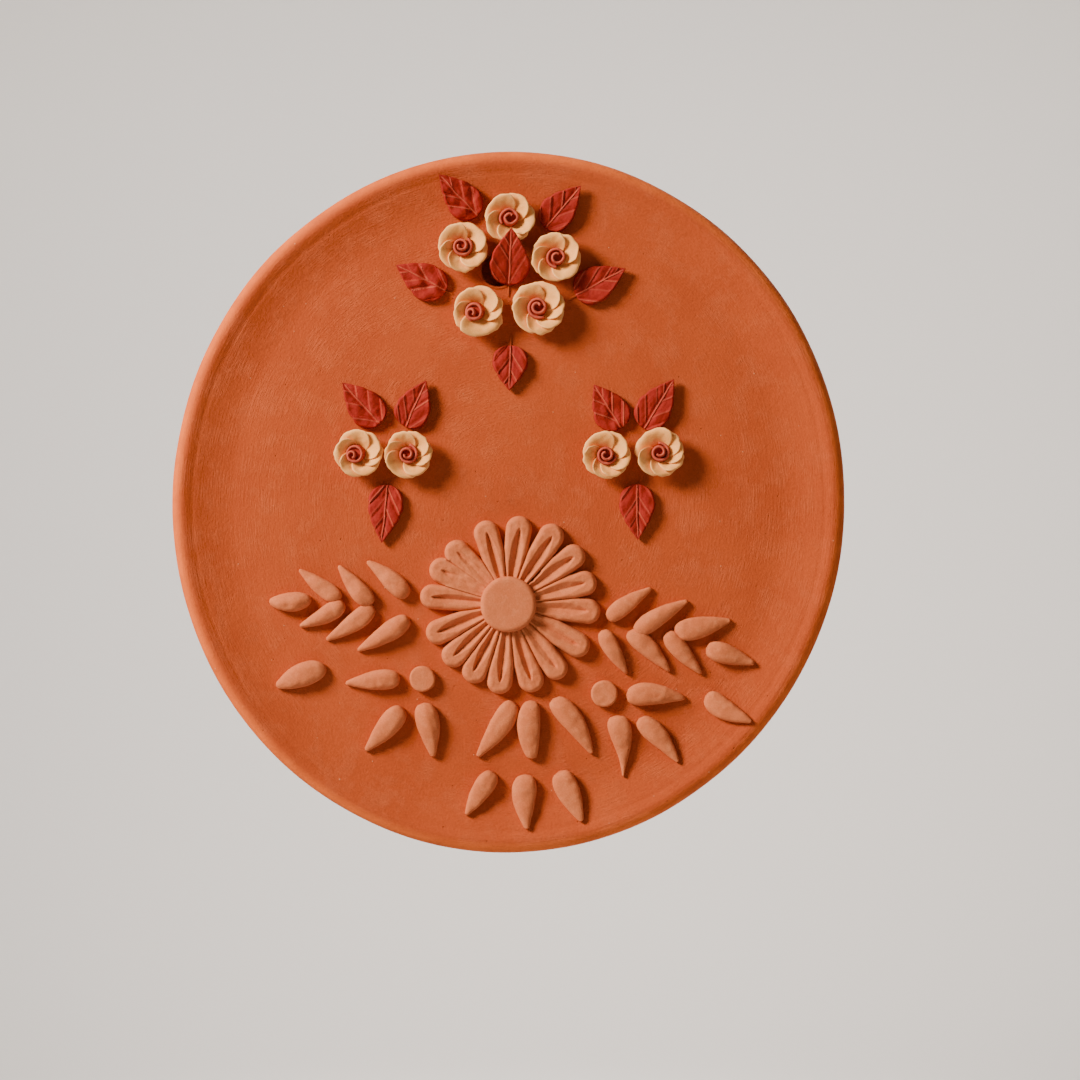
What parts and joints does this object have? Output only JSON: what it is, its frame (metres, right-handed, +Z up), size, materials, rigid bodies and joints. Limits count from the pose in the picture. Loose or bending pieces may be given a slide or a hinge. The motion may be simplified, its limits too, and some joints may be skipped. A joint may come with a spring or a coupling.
{
  "type": "wall plate",
  "caption": "Round clay wall plate with modelled roses, leaves, a daisy and sprays of petal drops, hung flat against a wall.",
  "frame": {"origin": "centre of the plate's flat back, where it lies against the wall", "axes": "+Y into the wall, the decorated face looks along -Y, +X to the viewer's right, +Z up as hung"},
  "size_m": [0.2996, 0.0242, 0.3126],
  "materials": {
    "terracotta": "unglazed fired terracotta, turned and brushed, matte",
    "cream_clay": "smooth cream clay, matte",
    "rose_bud_clay": "smooth red-brown clay, matte",
    "brick_red_clay": "brick-red clay with pressed veins, matte",
    "buff_clay": "hand-rolled buff clay, matte"
  },
  "bodies": {
    "root": {"crown_leaf_1": "brick_red_clay", "crown_leaf_2": "brick_red_clay", "crown_leaf_3": "brick_red_clay", "crown_leaf_4": "brick_red_clay", "crown_leaf_5": "brick_red_clay", "crown_leaf_6": "brick_red_clay", "crown_rose_1_bud": "rose_bud_clay", "crown_rose_1_petals": "cream_clay", "crown_rose_2_bud": "rose_bud_clay", "crown_rose_2_petals": "cream_clay", "crown_rose_3_bud": "rose_bud_clay", "crown_rose_3_petals": "cream_clay", "crown_rose_4_bud": "rose_bud_clay", "crown_rose_4_petals": "cream_clay", "crown_rose_5_bud": "rose_bud_clay", "crown_rose_5_petals": "cream_clay", "daisy_centre": "buff_clay", "daisy_petals": "buff_clay", "foot_fan_petal_1": "buff_clay", "foot_fan_petal_2": "buff_clay", "foot_fan_petal_3": "buff_clay", "foot_fan_petal_4": "buff_clay", "foot_fan_petal_5": "buff_clay", "foot_fan_petal_6": "buff_clay", "left_dot": "buff_clay", "left_pair_leaf_1": "brick_red_clay", "left_pair_leaf_2": "brick_red_clay", "left_pair_leaf_3": "brick_red_clay", "left_pair_rose_1_bud": "rose_bud_clay", "left_pair_rose_1_petals": "cream_clay", "left_pair_rose_2_bud": "rose_bud_clay", "left_pair_rose_2_petals": "cream_clay", "left_side_petal_1": "buff_clay", "left_side_petal_2": "buff_clay", "left_side_petal_3": "buff_clay", "left_side_petal_4": "buff_clay", "left_spray_petal_1": "buff_clay", "left_spray_petal_2": "buff_clay", "left_spray_petal_3": "buff_clay", "left_spray_petal_4": "buff_clay", "left_spray_petal_5": "buff_clay", "plate": "terracotta", "right_dot": "buff_clay", "right_pair_leaf_1": "brick_red_clay", "right_pair_leaf_2": "brick_red_clay", "right_pair_leaf_3": "brick_red_clay", "right_pair_rose_1_bud": "rose_bud_clay", "right_pair_rose_1_petals": "cream_clay", "right_pair_rose_2_bud": "rose_bud_clay", "right_pair_rose_2_petals": "cream_clay", "right_side_petal_1": "buff_clay", "right_side_petal_2": "buff_clay", "right_side_petal_3": "buff_clay", "right_side_petal_4": "buff_clay", "right_spray_petal_1": "buff_clay", "right_spray_petal_2": "buff_clay", "right_spray_petal_3": "buff_clay", "right_spray_petal_4": "buff_clay", "right_spray_petal_5": "buff_clay"}
  },
  "joints": []
}
